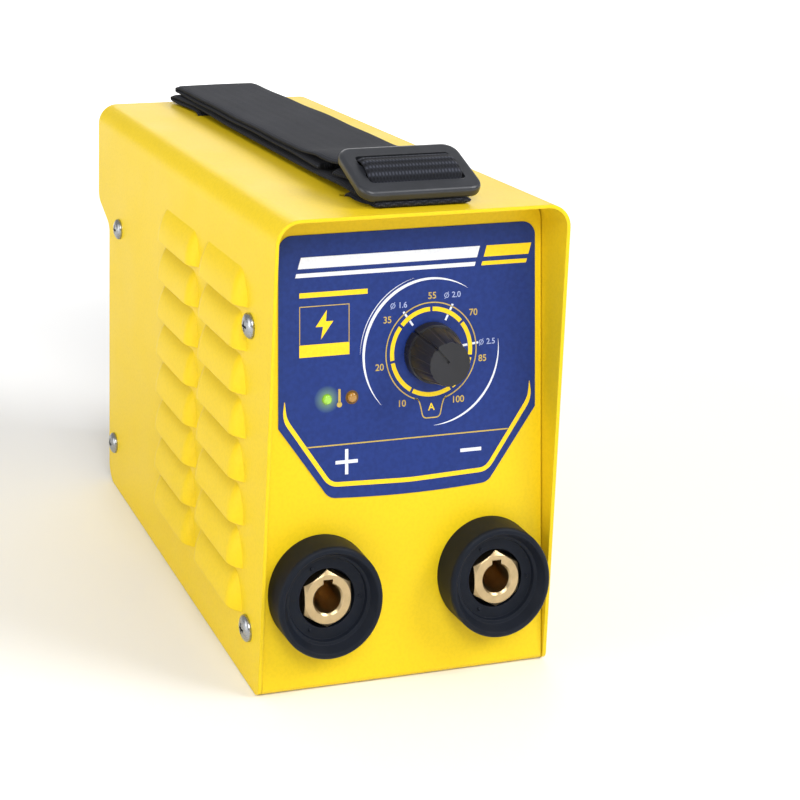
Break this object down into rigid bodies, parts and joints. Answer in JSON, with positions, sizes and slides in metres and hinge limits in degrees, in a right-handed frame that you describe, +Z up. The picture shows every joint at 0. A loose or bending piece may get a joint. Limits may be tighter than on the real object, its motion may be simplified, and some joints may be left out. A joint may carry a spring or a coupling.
{
  "type": "stick welder",
  "caption": "Compact inverter stick welder: louvred folded-steel case, front current dial, two plug sockets, carrying strap, rear fan, mains switch and cable.",
  "frame": {"origin": "middle of the case's footprint, at the height it stands on", "axes": "+Z up, the front panel faces -Y, +X to the right as seen from the front"},
  "size_m": [0.1206, 0.234, 0.1681],
  "materials": {
    "yellow_coat": "gloss powder coat",
    "blue_label": "satin printed film",
    "zinc_screws": "zinc plated",
    "black_moulding": "satin moulded",
    "knob_plastic": "satin moulded",
    "brass": "machined",
    "copper_bar": "bare copper bar",
    "steel": "plain",
    "green_lens": "clear lens",
    "amber_lens": "clear lens",
    "circuit_board": "solder mask",
    "heatsink": "extruded",
    "black_epoxy": "moulded epoxy",
    "capacitor_sleeve": "shrink sleeve",
    "ferrite": "sintered ferrite",
    "winding_tape": "polyester tape",
    "copper_wire": "enamelled copper",
    "nylon": "moulded nylon",
    "cable_jacket": "rubber jacket",
    "pin_metal": "nickel plated",
    "webbing": "woven polypropylene"
  },
  "bodies": {
    "case": {"cover": "yellow_coat", "chassis": "yellow_coat", "front_label": "blue_label", "side_screws": "zinc_screws", "socket_collar_positive": "black_moulding", "socket_collar_negative": "black_moulding", "socket_insert_positive": "brass", "socket_insert_negative": "brass", "socket_washers": "nylon", "socket_nuts": "brass", "bus_bar_positive": "copper_bar", "bus_bar_negative": "copper_bar", "bus_bar_screws": "zinc_screws", "potentiometer": "steel", "potentiometer_nut": "zinc_screws", "control_board": "circuit_board", "power_light": "green_lens", "overheat_light": "amber_lens", "power_board": "circuit_board", "board_standoffs": "steel", "board_screws": "zinc_screws", "heatsink_left": "heatsink", "heatsink_right": "heatsink", "power_transistors": "black_epoxy", "output_rectifiers": "black_epoxy", "bulk_capacitors": "capacitor_sleeve", "transformer_core": "ferrite", "transformer_winding": "winding_tape", "choke_core": "ferrite", "choke_winding": "copper_wire", "input_rectifier": "black_epoxy", "fan_frame": "black_moulding", "fan_screws": "zinc_screws", "switch_housing": "black_moulding", "cable_gland": "nylon", "gland_nut": "nylon", "mains_cable": "cable_jacket", "mains_plug": "cable_jacket", "plug_pins": "pin_metal", "carrying_strap": "webbing", "strap_buckle": "black_moulding", "strap_brackets": "steel", "strap_bars": "steel"},
    "knob": {"current_knob": "knob_plastic", "knob_shaft": "steel"},
    "fan": {"fan_rotor": "black_moulding", "fan_shaft": "steel"},
    "rocker": {"switch_rocker": "black_moulding"}
  },
  "joints": [
    {"name": "current_dial", "type": "hinge", "parent": "case", "child": "knob", "pos_m": [0.0092, -0.0845, 0.104], "axis": [0, 1, 0], "range_deg": [-108, 192]},
    {"name": "fan_spin", "type": "hinge", "parent": "case", "child": "fan", "pos_m": [0, 0.067, 0.056], "axis": [0, 1, 0], "continuous": true},
    {"name": "mains_rocker", "type": "hinge", "parent": "case", "child": "rocker", "pos_m": [0.021, 0.0781, 0.121], "axis": [1, 0, 0], "range_deg": [-24, 0]}
  ]
}
